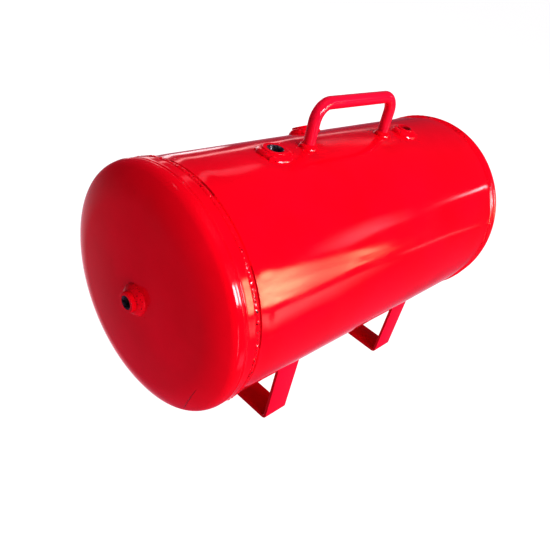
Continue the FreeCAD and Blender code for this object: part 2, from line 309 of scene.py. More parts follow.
def wave(point, cells, seed=0.0):
    """Smooth noise from -1 to 1, cells per metre."""
    return noise.noise(Vector(point) * cells + Vector((seed, seed * 0.7, seed * 1.3)))


def around(x, reach, angle):
    """A point about the tank's axis, its angle measured from the top towards +Y."""
    return Vector((x, reach * math.sin(angle), axis_height + reach * math.cos(angle)))


def near(distance, width):
    """A soft bell, 1 at no distance."""
    return math.exp(-((distance / width) ** 2))


def turned(name, profile, count, push):
    """A mesh turned about the tank's axis from a closed (x, radius) profile, each radius pushed."""
    rows = []
    for x, reach in profile:
        row = []
        for j in range(count):
            angle = TURN * j / count
            row.append(around(x, reach + push(x, reach, angle), angle))
        rows.append(row)
    return grid_mesh(name, rows, wrap_rows=True)


def dome(centre, normal, size, height):
    """A small flattened blob on a surface."""
    mesh = bpy.data.meshes.new("blob")
    shape = bmesh.new()
    bmesh.ops.create_uvsphere(shape, u_segments=10, v_segments=7, radius=1.0)
    turn = Vector(normal).to_track_quat("Z", "Y").to_matrix().to_4x4()
    scale = Matrix.Diagonal((size, size, height, 1.0))
    bmesh.ops.transform(shape, matrix=Matrix.Translation(centre) @ turn @ scale, verts=shape.verts)
    shape.to_mesh(mesh)
    shape.free()
    return mesh


# -------------------------------------------------------------------- ports


PORT_SIDES = 96
THREAD_PITCH = 1.337 * MM  # 19 per inch
THREAD_DEPTH = 0.80 * MM
# The roll of a port's face into its mouth: past the mouth's radius, and below the face.
MOUTH_ROLL = ((0.12 * MM, 0.06 * MM), (0.02 * MM, 0.25 * MM))


class Port:
    """A weld-in port: its axes, its sizes and where it stands.

    The body, mouth and toe of the weld are radii, and the fillet a height, all in millimetres.
    """

    def __init__(self, name, body, mouth, fillet, toe):
        mount = mounts[name]
        self.name = name
        self.normal = Vector(mount["axis"])
        self.bore = mount["dims"]["r_mm"] * MM
        self.body, self.mouth = body * MM, mouth * MM
        self.fillet, self.toe = fillet * MM, toe * MM
        half = mount["dims"]["length_mm"] * MM / 2
        middle = Vector(mount["pos_m"])
        on_shell = abs(self.normal.x) < 0.5
        self.side = Vector((1, 0, 0)) if on_shell else Vector((0, 1, 0))
        self.cross = self.normal.cross(self.side)
        self.base = Vector((middle.x, 0, axis_height)) if on_shell else middle
        reach = (middle - self.base).dot(self.normal)
        self.low = reach - half
        self.top = reach + half + self.mouth - self.bore

    def point(self, across, angle, height):
        """A point in the port's own round coordinates."""
        flat = self.side * math.cos(angle) + self.cross * math.sin(angle)
        return self.base + flat * across + self.normal * height


# The body and the mouth of the two sizes of port.
LARGE = (13.5, 8.8)
SMALL = (10.5, 7.0)
top_front = Port("top_front_port", *LARGE, 4.2, 19.5)
top_rear = Port("top_rear_port", *SMALL, 4.8, 17.0)
side = Port("side_port", *LARGE, 5.6, 19.5)
drain = Port("drain_port", *SMALL, 4.8, 17.0)
front_head = Port("front_head_port", *SMALL, 6.0, 17.0)
shell_ports = (top_front, top_rear, side, drain)


def port_body(port):
    """The painted outside, face and back of a port."""
    wall = port.bore + 1.1 * MM
    edge = 0.8 * MM
    profile = [
        (wall, port.low),
        (port.body, port.low),
        *((port.body, height) for height in spaced(port.low + 1 * MM, port.top - edge, 9)),
    ]
    for step in range(1, 6):
        lean = math.pi / 2 * step / 5
        across = port.body - edge * (1 - math.cos(lean))
        profile.append((across, port.top - edge * (1 - math.sin(lean))))
    face = spaced(port.body - 1.3 * MM, port.mouth + 0.35 * MM, 4)
    profile += [(across, port.top) for across in face]
    profile += [(port.mouth + past, port.top - below) for past, below in MOUTH_ROLL]
    profile.append((wall, port.top - 1.6 * MM))
    rows = []
    for across, height in profile:
        row = []
        for j in range(PORT_SIDES):
            angle = TURN * j / PORT_SIDES
            point = port.point(across, angle, height)
            sag = 0.10 * MM * wave(point, 130.0, 3.0) + 0.05 * MM * wave(point, 420.0, 5.0)
            row.append(port.point(across + sag, angle, height + sag * 0.6))
        rows.append(row)
    return grid_mesh(port.name, rows, wrap_rows=True)


def port_thread(port):
    """The cut thread of a port's bore, with a countersink at each end."""
    rows = []
    for height in spaced(port.low, port.top, int((port.top - port.low) / THREAD_PITCH * 10)):
        row = []
        for j in range(PORT_SIDES):
            share = (height / THREAD_PITCH - j / PORT_SIDES) % 1.0
            flank = clamp((abs(2 * share - 1) - 0.12) / 0.76)
            thread = port.bore + THREAD_DEPTH * flank
            mouth = port.mouth - (port.top - height)
            back = port.bore + THREAD_DEPTH - (height - port.low)
            row.append(port.point(max(thread, mouth, back), TURN * j / PORT_SIDES, height))
        rows.append(row)
    return grid_mesh(port.name + "_thread", rows)


def seat_height(port, across, angle):
    """How high the tank's outer skin is above a port's base at a place beside it."""
    if port is front_head:
        apex = (Vector((cad_front_apex, 0, axis_height)) - port.base).dot(port.normal)
        return apex - (CROWN - math.sqrt(CROWN * CROWN - across * across))
    return math.sqrt(radius * radius - (across * math.sin(angle)) ** 2)


def weld_ring(name, port, inside, toe, fillet, seed, pitch, lumps):
    """A hand-laid fillet about a boss or a bar: overlapping ripples, lumps and an uneven toe.

    It runs from just inside the boss to just past the toe, where it dips into the plate.
    """
    length = TURN * (inside + toe) / 2
    count = int(length / (0.30 * MM))
    beads = max(8, round(length / pitch))
    rows = []
    for i in range(17):
        share = -0.08 + 1.16 * i / 16
        row = []
        for j in range(count):
            angle = TURN * j / count
            spot = Vector((math.cos(angle), math.sin(angle), 0)) * inside
            uneven = 1 + 0.06 * wave(spot, 120.0, seed) + 0.03 * wave(spot, 420.0, seed + 4)
            reach = inside + (toe * uneven - inside) * share
            slope = fillet * (1 - clamp(share) ** 2.2) ** 0.8
            phase = beads * angle + 2.6 * (share - 0.5) ** 2 + 0.7 * wave(spot, 200.0, seed + 8)
            ripple = abs(math.sin(phase / 2)) ** 0.7 - 0.62
            arch = math.sin(math.pi * min(max(share, 0.02), 0.98))
            place = port.point(reach, angle, 0)
            bumpy = ripple * 0.13 * MM + lumps * (
                wave(place, 260.0, seed + 12) + 0.5 * wave(place, 700.0, seed + 16)
            )
            height = slope + arch * bumpy
            if share > 0.96:
                height = -0.7 * MM
            row.append(port.point(reach, angle, seat_height(port, reach, angle) + height))
        rows.append(row)
    return grid_mesh(name, rows)


def spatter(port, start, stop, count, seed):
    """Blobs of weld spatter under the paint around a weld."""
    chance = random.Random(seed)
    blobs = []
    for _ in range(count):
        reach = start + (stop - start) * chance.random() ** 1.8
        angle = TURN * chance.random()
        size = (0.35 + 0.75 * chance.random() ** 2) * MM
        spot = port.point(reach, angle, seat_height(port, reach, angle))
        if port is front_head:
            normal = port.normal
        else:
            normal = Vector((0, spot.y, spot.z - axis_height)).normalized()
        blobs.append(dome(spot, normal, size, size * 0.75))
    return blobs


def head_reach(skirt, flare):
    """How far a head stands out from its joint plane, and its arcs' middles."""
    flared = radius + flare
    low_sine = CROWN_EDGE / CROWN
    low_cosine = math.sqrt(1 - low_sine**2)
    high_sine = (flared - KNUCKLE + SHOULDER * low_sine - CROWN_EDGE) / (SHOULDER - KNUCKLE)
    high_cosine = math.sqrt(1 - high_sine**2)
    shoulder = (
        skirt + (KNUCKLE - SHOULDER) * high_cosine,
        flared - KNUCKLE + (KNUCKLE - SHOULDER) * high_sine,
    )
    crown = shoulder[0] + (SHOULDER - CROWN) * low_cosine
    return crown + CROWN, shoulder, crown, math.asin(low_sine), math.asin(high_sine)


cad_front_apex = front_joint - head_reach(FRONT_SKIRT, FRONT_FLARE)[0]

for index, port in enumerate((*shell_ports, front_head)):
    finish_piece(port.name + "_body", port_body(port), port_enamel, [port.name])
    thread = port_thread(port)
    lining = painted_shade_and_overspray_enamel if port is top_rear else bare_thread
    finish_piece(port.name + "_thread", thread, lining, [port.name], 25.0)
    seed = 11.0 * (index + 1)
    ring = weld_ring(
        port.name, port, port.body - 0.3 * MM, port.toe, port.fillet, seed, 3.4 * MM, 0.30 * MM
    )
    blobs = spatter(port, port.toe, port.toe * 1.9, 9, 40 + index)
    if port is top_front:
        # One large drop of weld metal beside this port.
        lump = port.point(19.0 * MM, math.radians(213), 0)
        lump.z = axis_height + math.sqrt(radius**2 - lump.y**2)
        blobs.append(dome(lump, (0, 0, 1), 2.6 * MM, 2.3 * MM))
    finish_piece(
        port.name + "_weld_bead",
        join_meshes(ring, blobs),
        fillet_enamel,
        [port.name + "_weld"],
        60.0,
    )


# -------------------------------------------------------------------- shell


handle_low, handle_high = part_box("carry_handle")
bar = (handle_high.y - handle_low.y) / 2
leg_places = (handle_low.x + bar, handle_high.x - bar)


# Each end of the plate is a low step beside its girth bead. Painted shade
# darkens it in two stretches, in degrees above the level of the axis.
STEP_EDGE = 3.5 * MM
STEP_RAMP = 1.1 * MM
STEP_DROP = 1.7 * MM
PAINTED_SHADE_FROM = 1.9 * MM
PAINTED_SHADE_STRETCHES = ((4, 41), (72, 82))


def shell_push(x, reach, angle):
    """How far the rolled skin stands off a true cylinder.

    Hand-sized waves, the pull of the girth welds, the steps at the ends, and the
    sinks about the ports and the handle's legs.
    """
    if reach < radius - 0.5 * WALL:
        return 0.0
    spot = around(x, reach, angle)
    push = 0.16 * MM * wave(spot, 9.0, 2.0) + 0.05 * MM * wave(spot, 26.0, 6.0)
    edge = min(x - shell_low.x, shell_high.x - x)
    push -= 0.35 * MM * near(edge - 10 * MM, 9 * MM)
    push -= STEP_DROP * clamp((STEP_EDGE - edge) / STEP_RAMP)
    for port in shell_ports:
        away = (spot - port.point(0, 0, radius)).length
        push -= 0.30 * MM * near(away - 22 * MM, 8 * MM)
    for place in leg_places:
        away = (spot - Vector((place, 0, axis_height + radius))).length
        push -= 0.15 * MM * near(away - 12 * MM, 6 * MM)
    return push


edge_steps = spaced(0.0, 6 * MM, 31) + spaced(7 * MM, 24 * MM, 12)
middle_steps = spaced(shell_low.x + 28 * MM, shell_high.x - 28 * MM, 96)
outer = (
    [(shell_low.x + step, radius) for step in edge_steps]
    + [(step, radius) for step in middle_steps]
    + [(shell_high.x - step, radius) for step in reversed(edge_steps)]
)
inner = [(shell_high.x, radius - WALL), (shell_low.x, radius - WALL)]
shell_mesh = turned("shell_plate", outer + inner, 300, shell_push)


def cut_holes(mesh, holes):
    """A mesh with round holes cut through it."""
    base = link_object("cut_base", mesh)
    tools = []
    for port in holes:
        rows = [
            [port.point(port.body + 0.2 * MM, TURN * j / 64, height) for j in range(64)]
            for height in (radius - 12 * MM, radius + 6 * MM)
        ]
        tool_mesh = grid_mesh("cut_tool", rows)
        shape = bmesh.new()
        shape.from_mesh(tool_mesh)
        bmesh.ops.holes_fill(shape, edges=shape.edges, sides=0)
        bmesh.ops.recalc_face_normals(shape, faces=shape.faces)
        shape.to_mesh(tool_mesh)
        shape.free()
        tool = link_object("cut_tool", tool_mesh)
        modifier = base.modifiers.new("hole", "BOOLEAN")
        modifier.operation = "DIFFERENCE"
        modifier.solver = "EXACT"
        modifier.object = tool
        tools.append(tool)
    bpy.context.view_layer.update()
    graph = bpy.context.evaluated_depsgraph_get()
    made = bpy.data.meshes.new_from_object(base.evaluated_get(graph))
    for item in [base, *tools]:
        bpy.data.objects.remove(item)
    return made


shell_plate = finish_piece(
    "shell_plate", cut_holes(shell_mesh, shell_ports), tank_enamel, ["shell"]
)
# Painted shade: the step's faces in those stretches take the darker red, as a dark line beside the
# bead.
shell_plate.data.materials.append(painted_shade_and_overspray_enamel)
for face in shell_plate.data.polygons:
    edge = min(face.center.x - shell_low.x, shell_high.x - face.center.x)
    rise = face.center.z - axis_height
    reach = math.hypot(face.center.y, rise)
    lean = math.degrees(math.atan2(rise, abs(face.center.y))) + 5 * wave(face.center, 60.0, 5.0)
    on_step = PAINTED_SHADE_FROM < edge < STEP_EDGE and reach > radius - 2 * MM
    if on_step and any(start < lean < stop for start, stop in PAINTED_SHADE_STRETCHES):
        face.material_index = 1


# -------------------------------------------------------------------- heads


# The lip behind a head's weld: how far it reaches into the shell, where its ramp
# meets the head's wall, and its play inside the shell.
LIP_REACH = 14 * MM
LIP_RAMP = 7.2 * MM
LIP_PLAY = 0.25 * MM


def arc(middle, size, start, stop, count):
    """Points (out, radius) on an arc, its angle measured from straight out along the tank."""
    return [
        (middle[0] + size * math.cos(lean), middle[1] + size * math.sin(lean))
        for lean in spaced(start, stop, count)
    ]


def flange_rise(out, skirt, flare):
    """How far a head's skirt stands out past the shell: a step by the weld, then nearly level."""
    share = clamp((out - WELD_GAP) / (3.6 * MM))
    step = share * share * (3 - 2 * share)
    level = max(0.0, out - WELD_GAP) / (skirt - WELD_GAP)
    return flare * (0.90 * step + 0.10 * level)


def head_profile(skirt, flare, hole):
    """A head's closed section as (distance from the joint plane, radius), with the lip behind."""
    _, shoulder, crown, low, high = head_reach(skirt, flare)
    knuckle = (skirt, radius + flare - KNUCKLE)
    rim = math.asin(hole / CROWN)
    straight = spaced(WELD_GAP, skirt, 64)
    section = [(out, radius + flange_rise(out, skirt, flare)) for out in straight]
    section += arc(knuckle, KNUCKLE, math.pi / 2, high, 30)[1:]
    section += arc(shoulder, SHOULDER, high, low, 24)[1:]
    section += arc((crown, 0.0), CROWN, low, rim, 34)[1:]
    section += arc((crown, 0.0), CROWN - WALL, rim, low, 12)
    section += arc(shoulder, SHOULDER - WALL, low, high, 8)[1:]
    section += arc(knuckle, KNUCKLE - WALL, high, math.pi / 2, 8)[1:]
    section += [
        (LIP_RAMP, radius - WALL),
        (0.0, radius - 2 * WALL),
        (-LIP_REACH, radius - 2 * WALL),
        (-LIP_REACH, radius - WALL - LIP_PLAY),
        (WELD_GAP, radius - WALL - LIP_PLAY),
    ]
    return section


def make_head(name, node, joint, way, skirt, flare, hole, tilt=0.0):
    """A pressed head that faces one way from its joint plane.

    The hole is the radius left open for a port, and tilt how much longer the
    skirt is at its low side.
    """
    askew = math.radians(20)

    def push(x, reach, angle):
        out = (x - joint) * way
        spot = around(x, reach, angle)
        swell = 0.14 * MM * wave(spot, 12.0, 9.0) + 0.04 * MM * wave(spot, 34.0, 4.0)
        swell *= min(1.0, reach / (30 * MM))
        # A groove between two ridges, where the skirt meets the knuckle.
        if reach > radius - 1.0 * MM and out > 4 * MM:
            swell += 0.30 * MM * near(out - skirt, 0.9 * MM)
            swell -= 0.55 * MM * near(out - skirt + 2.3 * MM, 0.8 * MM)
            swell += 0.22 * MM * near(out - skirt + 4.2 * MM, 0.9 * MM)
        return swell

    profile = [(joint + way * out, reach) for out, reach in head_profile(skirt, flare, hole)]
    mesh = turned(name, profile, 288, push)
    for vertex in mesh.vertices:
        spot = vertex.co
        out = (spot.x - joint) * way
        share = clamp((out - 3 * MM) / (8 * MM))
        low_side = (-math.cos(askew) * (spot.z - axis_height) - math.sin(askew) * spot.y) / radius
        spot.x += way * tilt * share * low_side
    finish_piece(name, mesh, tank_enamel, [node])


# The raised line low on the front head, in darker red as a painted dark reflection
# line: where it starts and how far it runs round the head, in degrees, and its
# distance from the axis at each end, in millimetres.
CREASE_START = 113.5
CREASE_RUN = 28
CREASE_NEAR = 104.2
CREASE_FAR = 119.0


def crease(joint, way, skirt, flare):
    """A fine raised line low on the front head's shoulder."""
    shoulder = head_reach(skirt, flare)[1]
    rows = []
    for i in range(41):
        share = i / 40
        angle = -math.radians(CREASE_START + CREASE_RUN * share)
        reach = (CREASE_NEAR + (CREASE_FAR - CREASE_NEAR) * share * share) * MM
        lean = math.asin((reach - shoulder[1]) / SHOULDER)
        normal = around(way * math.cos(lean), math.sin(lean), angle) - Vector((0, 0, axis_height))
        spot = around(joint + way * (shoulder[0] + SHOULDER * math.cos(lean)), reach, angle)
        following = around(0, 1, angle - 0.01) - around(0, 1, angle)
        aside = normal.cross(following).normalized()
        full = math.sin(math.pi * share**1.7) ** 0.4
        row = []
        for k in range(7):
            turn = math.pi * k / 6
            across = aside * ((0.45 + 0.35 * share) * MM * math.cos(turn))
            row.append(spot + across + normal * (full * 0.55 * MM * math.sin(turn) - 0.15 * MM))
        rows.append(row)
    return grid_mesh("crease", rows)


# Each end of the tank: its joint plane, the way it faces, its skirt and its flare.
front_end = (front_joint, -1, FRONT_SKIRT, FRONT_FLARE)
rear_end = (rear_joint, 1, REAR_SKIRT, REAR_FLARE)

make_head("front_head_dish", "front_head", *front_end, 10.75 * MM)
make_head("rear_head_dish", "rear_head", *rear_end, 0.0, 3.5 * MM)
crease_mesh = crease(*front_end)
# Its darker red is a painted dark reflection line.
finish_piece("front_head_painted_reflection_line", crease_mesh, painted_shade_and_overspray_enamel, ["front_head"])


# ------------------------------------------------------- girth and seam beads


# Bead section from the head's side to the shell's: place across it and height
# above the plates in millimetres, and how rough it is there. The shell's side
# slopes smoothly down to the low step in the plate's edge.
BEAD_SECTION = (
    (-3.7, -0.8, 0.0),
    (-3.4, 0.10, 0.3),
    (-2.9, 0.60, 0.9),
    (-2.3, 1.15, 1.0),
    (-1.6, 1.55, 1.0),
    (-0.9, 1.60, 1.0),
    (-0.2, 1.30, 1.0),
    (0.4, 0.70, 0.7),
    (0.9, 0.30, 0.3),
    (1.5, 0.05, 0.12),
    (2.2, -0.15, 0.10),
    (2.8, -0.45, 0.10),
    (3.2, -0.90, 0.10),
    (3.4, -1.30, 0.05),
    (3.5, -1.90, 0.0),
)


def bead_relief(spot, run, across, rough, seed):
    """The height of ripples, lumps and pits at a spot of a bead, by the run along it."""
    phase = run / (2.7 * MM) + 0.16 * across * across + 0.9 * wave(spot, 90.0, seed)
    ripple = abs(math.sin(math.pi * phase)) ** 0.6 - 0.7
    strength = 0.45 + 0.55 * max(0.0, wave(spot, 28.0, seed + 3) + 0.35)
    lumps = 0.36 * wave(spot, 260.0, seed + 5) + 0.30 * wave(spot, 560.0, seed + 7)
    pit = max(0.0, wave(spot, 330.0, seed + 9) - 0.30)
    return rough * (0.34 * ripple * strength + 1.25 * lumps - 3.4 * pit) * MM


def girth_bead(name, node, joint, way, skirt, flare, coarse, seed):
    """The round bead between the shell and a head, with its relief scaled by coarse."""
    count = 1800
    rows = []
    for place, height, rough in BEAD_SECTION:
        out = -place * MM
        row = []
        for j in range(count):
            angle = TURN * j / count
            base = radius + flange_rise(out, skirt, flare) + height * MM
            spot = around(joint + way * out, base, angle)
            wander = 0.35 * MM * wave(spot, 40.0, seed + 20) if 0.1 < rough else 0.0
            relief = bead_relief(spot, angle * radius, place, rough * coarse, seed)
            row.append(around(joint + way * out + wander, base + relief, angle))
        rows.append(row)
    mesh = grid_mesh(name, rows)
    finish_piece(name, mesh, weld_enamel, [node], 70.0)


girth_bead("front_girth_bead", "front_girth_weld", *front_end, 1.0, 1.0)
girth_bead("rear_girth_bead", "rear_girth_weld", *rear_end, 0.45, 31.0)


def seam_bead():
    """The straight bead along the shell."""
    low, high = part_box("shell_seam_weld")
    rows = []
    for x in spaced(low.x, high.x, 1100):
        wander = 0.5 * MM * wave((x, 0, 0), 30.0, 51.0)
        row = []
        for i in range(13):
            share = -1 + 2 * i / 12
            across = share * 4.1 * MM + wander
            spot = around(x, radius, SEAM_ANGLE + across / radius)
            height = 1.15 * MM * (1 - share * share) ** 0.8 - (0.6 * MM if abs(share) > 0.99 else 0)
            relief = bead_relief(spot, x, share * 3, 1 - share * share, 57.0)
            row.append(around(x, radius + height + relief, SEAM_ANGLE + across / radius))
        rows.append(row)
    mesh = grid_mesh("shell_seam_bead", rows, wrap_columns=False)
    finish_piece("shell_seam_bead", mesh, weld_enamel, ["shell_seam_weld"], 70.0)


seam_bead()


# ------------------------------------------------------------------- handle


class BarLeg(Port):
    """A handle leg's foot, as a round place on top of the shell."""

    def __init__(self, x):
        self.normal = Vector((0, 0, 1))
        self.side = Vector((1, 0, 0))
        self.cross = Vector((0, 1, 0))
        self.base = Vector((x, 0, axis_height))


def swept(name, path, section):
    """A mesh with one section (in plane, aside) swept along (point, inward, aside, squeeze)."""
    rows = []
    for point, inward, aside, squeeze in path:
        deep, wide = 1 - squeeze, 1 + squeeze * 0.8
        rows.append([point + inward * (a * deep) + aside * (b * wide) for a, b in section])
    return grid_mesh(name, rows)


def bent_path(corners, bend, aside, step, squeeze):
    """Straight runs joined by round bends, as the points that swept takes."""
    path = []

    def add(point, direction, flat):
        path.append((point, direction.cross(aside), aside, flat))

    for index in range(len(corners) - 1):
        start, stop = corners[index], corners[index + 1]
        direction = (stop - start).normalized()
        first = start + direction * (bend if index > 0 else 0)
        last = stop - direction * (bend if index < len(corners) - 2 else 0)
        count = max(2, int((last - first).length / step))
        for i in range(count + 1):
            add(first.lerp(last, i / count), direction, 0.0)
        if index < len(corners) - 2:
            following = (corners[index + 2] - stop).normalized()
            centre = last + following * bend
            turns = 14
            for i in range(1, turns):
                lean = math.pi / 2 * i / turns
                forward, back = math.sin(lean), math.cos(lean)
                point = centre - following * (bend * back) + direction * (bend * forward)
                heading = direction * back + following * forward
                add(point, heading, squeeze * math.sin(2 * lean) ** 0.5)
    return path


HANDLE_BEND = 18 * MM
handle_top = handle_high.z - bar
handle_foot = axis_height + radius - 2.2 * MM
handle_corners = [
    Vector((leg_places[0], 0, handle_foot)),
    Vector((leg_places[0], 0, handle_top)),
    Vector((leg_places[1], 0, handle_top)),
    Vector((leg_places[1], 0, handle_foot)),
]
round_section = [
    (bar * math.cos(TURN * j / 64), bar * math.sin(TURN * j / 64)) for j in range(64)
]
handle_path = bent_path(handle_corners, HANDLE_BEND, Vector((0, 1, 0)), 1.6 * MM, 0.035)
handle_mesh = swept("carry_handle_bar", handle_path, round_section)
for vertex in handle_mesh.vertices:
    sag = 0.07 * MM * wave(vertex.co, 60.0, 71.0) + 0.03 * MM * wave(vertex.co, 260.0, 73.0)
    vertex.co += Vector((0.4, 1.0, 0.6)) * sag
finish_piece("carry_handle_bar", handle_mesh, grip_enamel, ["carry_handle"])

for name, leg, seed in (
    ("handle_front_weld", BarLeg(leg_places[0]), 81.0),
    ("handle_rear_weld", BarLeg(leg_places[1]), 93.0),
):
    ring = weld_ring(name, leg, bar - 0.3 * MM, 10.5 * MM, 4.0 * MM, seed, 2.8 * MM, 0.42 * MM)
    blobs = spatter(leg, 11 * MM, 24 * MM, 10, int(seed))
    finish_piece(
        name + "_bead", join_meshes(ring, blobs), fillet_enamel, [name], 60.0
    )


# --------------------------------------------------------------------- feet


STRAP_THICK = 4 * MM


def strap_section(thick, wide, edge):
    """A flat bar's section with round edges."""
    section = []
    for quarter, (a, b) in enumerate(((1, 1), (-1, 1), (-1, -1), (1, -1))):
        middle = (a * (thick / 2 - edge), b * (wide / 2 - edge))
        for i in range(5):
            lean = math.pi / 2 * (quarter + i / 4)
            section.append((middle[0] + edge * math.cos(lean), middle[1] + edge * math.sin(lean)))
    return section


def foot_bead(node, way, outside, seed):
    """The bead between a leg's outer side and the shell, at one side of the tank."""
    low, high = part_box(node)
    outward = Vector((0, way * 0.88, -0.47))
    rows = []
    for i in range(121):
        share = -1 + 2 * i / 120
        x = (low.x + high.x) / 2 + (high.x - low.x) / 2 * share
        full = max(0.05, (1 - abs(share) ** 6)) ** 0.5
        root = Vector((x, way * (outside - 0.4 * MM), low.z + (1 - full) * 3 * MM))
        tip = Vector((x, way * (outside + 5.2 * MM * full), 0))
        tip.z = axis_height - math.sqrt((radius - 0.5 * MM) ** 2 - tip.y**2)
        row = []
        for k in range(11):
            lean = k / 10
            spot = root.lerp(tip, lean)
            arch = math.sin(math.pi * lean)
            relief = bead_relief(spot, x, (lean - 0.5) * 5, arch, seed)
            row.append(spot + outward * (0.9 * MM * arch * full + relief))
        rows.append(row)
    bead = grid_mesh(node, rows, wrap_columns=False)
    finish_piece(node + "_bead", bead, fillet_enamel, [node], 60.0)


def make_foot(name):
    """A bent strap with its legs run into the shell's underside, and the beads outside them."""
    low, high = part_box(name)
    middle = (low.x + high.x) / 2
    half = high.y - STRAP_THICK / 2
    bottom = STRAP_THICK / 2
    top = axis_height - math.sqrt((radius - 1.2 * MM) ** 2 - half**2)
    corners = [
        Vector((middle, -half, top)),
        Vector((middle, -half, bottom)),
        Vector((middle, half, bottom)),
        Vector((middle, half, top)),
    ]
    path = bent_path(corners, 4 * MM, Vector((1, 0, 0)), 2.5 * MM, 0.0)
    section = strap_section(STRAP_THICK, high.x - low.x, 0.7 * MM)
    mesh = swept(name + "_strap", path, section)
    for vertex in mesh.vertices:
        sag = 0.10 * MM * wave(vertex.co, 40.0, 103.0)
        if vertex.co.z > 6 * MM:
            vertex.co.y += sag
    strap = finish_piece(name + "_strap", mesh, bracket_enamel, [name], 50.0)
    strap.data.materials.append(painted_shade_and_overspray_enamel)
    # Painted shade: the strap's edges, its inner sides and the top of its foot take the darker red.
    for face in strap.data.polygons:
        inward = face.normal.y * face.center.y < 0 and abs(face.normal.y) > 0.7
        if abs(face.normal.x) > 0.5 or inward or face.normal.z > 0.7:
            face.material_index = 1

    for hand, way in (("left", -1), ("right", 1)):
        foot_bead(f"{name}_{hand}_weld", way, high.y, 110.0 + way * 7 + middle * 100)


make_foot("front_foot")
make_foot("rear_foot")


# ------------------------------------------------- floor, lights and camera


def glowing(name, colour, strength, base=(0.0, 0.0, 0.0)):
    """A matt material that gives off light."""
    material, _, shader = new_material(name)
    shader.inputs["Base Color"].default_value = (*base, 1)
    shader.inputs["Roughness"].default_value = 0.9
    shader.inputs["Specular IOR Level"].default_value = 0.0
    shader.inputs["Emission Color"].default_value = (*colour, 1)
    shader.inputs["Emission Strength"].default_value = strength
    return material


FAR = 30
floor_mesh = bpy.data.meshes.new("floor")
corners = [(-FAR, -FAR, 0), (FAR, -FAR, 0), (FAR, FAR, 0), (-FAR, FAR, 0)]
floor_mesh.from_pydata(corners, [], [(0, 1, 2, 3)])
floor = link_object("floor", floor_mesh)
floor_mesh.materials.append(glowing("pale_floor", (1, 1, 1), 0.68, (0.16, 0.16, 0.16)))
floor.visible_glossy = False

# A white studio wall all round, seen only by the camera.
wall_mesh = bpy.data.meshes.new("studio_wall")
shape = bmesh.new()
bmesh.ops.create_uvsphere(shape, u_segments=48, v_segments=24, radius=24)
shape.to_mesh(wall_mesh)
shape.free()
wall_mesh.materials.append(glowing("studio_wall", (1, 1, 1), 0.86))
wall = link_object("studio_wall", wall_mesh)
wall.visible_glossy = False
wall.visible_diffuse = False
wall.visible_shadow = False

# What the paint mirrors where there is no panel: a dark room, and under the
# horizon a paler tone that is palest behind the tank.
world = bpy.data.worlds.new("studio")
bpy.context.scene.world = world
world.use_nodes = True
sky = world.node_tree
direction = add_node(sky, "ShaderNodeTexCoord")
height = add_node(sky, "ShaderNodeSeparateXYZ")
sky.links.new(direction.outputs["Generated"], height.inputs[0])
behind = combine(sky, "MULTIPLY", height.outputs["X"], 0.6)
behind = combine(sky, "ADD", behind, height.outputs["Y"])
behind = remap(sky, behind, 0.35, 0.90, 0.0, 1.0, smooth=True)
ground = blend_colours(sky, behind, (0.22, 0.12, 0.19, 1), (0.85, 0.62, 0.68, 1))
share = remap(sky, height.outputs["Z"], -0.75, 0.02, 0.0, 1.0, smooth=True)
tone = blend_colours(sky, share, ground, (0.09, 0.06, 0.09, 1))
sky.links.new(tone, sky.nodes["Background"].inputs["Color"])


def reflector(name, azimuth, distance, colour, strength, soft_low, soft_high, stations):
    """A glowing panel for the paint to mirror, on an upright plane, that fades out at its edges.

    The plane is a distance away at an azimuth in degrees. Each station is (aside,
    height) of the lower edge, the same of the upper edge, and a brightness.
    soft_low and soft_high are the shares of the height that the edges fade over.
    """
    lean = math.radians(azimuth)
    out = Vector((math.cos(lean), math.sin(lean), 0)) * distance
    aside = Vector((-math.sin(lean), math.cos(lean), 0))
    steps = (0.0, soft_low / 2, soft_low, 1 - soft_high, 1 - soft_high / 2, 1.0)
    shares = (0.0, 0.5, 1.0, 1.0, 0.5, 0.0)
    points, shade, faces = [], [], []
    for low_aside, low_height, high_aside, high_height, bright in stations:
        for step, part in zip(steps, shares):
            across = low_aside + (high_aside - low_aside) * step
            up = low_height + (high_height - low_height) * step
            points.append(out + aside * across + Vector((0, 0, up)))
            shade.append(bright * part)
    for row in range(len(stations) - 1):
        for column in range(len(steps) - 1):
            first = row * len(steps) + column
            faces.append((first, first + 1, first + len(steps) + 1, first + len(steps)))
    mesh = bpy.data.meshes.new(name)
    mesh.from_pydata(points, [], faces)
    bright = mesh.color_attributes.new("bright", "FLOAT_COLOR", "POINT")
    for index, value in enumerate(shade):
        bright.data[index].color = (value, value, value, 1)
    material = glowing(name, colour, strength)
    tree = material.node_tree
    read = add_node(tree, "ShaderNodeAttribute", attribute_name="bright")
    place = add_node(tree, "ShaderNodeTexCoord").outputs["Object"]
    uneven = remap(tree, add_noise(tree, place, 5.0, 2.0), 0.35, 0.65, 0.78, 1.22)
    uneven = combine(tree, "MULTIPLY", uneven, strength)
    power = combine(tree, "MULTIPLY", read.outputs["Fac"], uneven)
    tree.links.new(power, tree.nodes["Principled BSDF"].inputs["Emission Strength"])
    mesh.materials.append(material)
    piece = link_object(name, mesh)
    piece.visible_camera = False
    piece.visible_shadow = False
    piece.visible_diffuse = False


def plain_panel(places, low, high):
    """The stations of an even panel that fades out at both ends."""
    return [(aside, low, aside, high, bright) for aside, bright in zip(places, (0, 1, 1, 0))]


def softbox(name, place, aim, size, power):
    """A rectangular area light that faces a point and is not mirrored."""
    data = bpy.data.lights.new(name, "AREA")
    data.shape = "RECTANGLE"
    data.size, data.size_y = size
    data.energy = power
    light = link_object(name, data)
    light.location = place
    light.rotation_euler = (Vector(aim) - Vector(place)).to_track_quat("-Z", "Y").to_euler()
    light.visible_glossy = False


# The azimuths of the two planes that hold most of the panels.
FRONT_LEFT = -43
BACK = 45

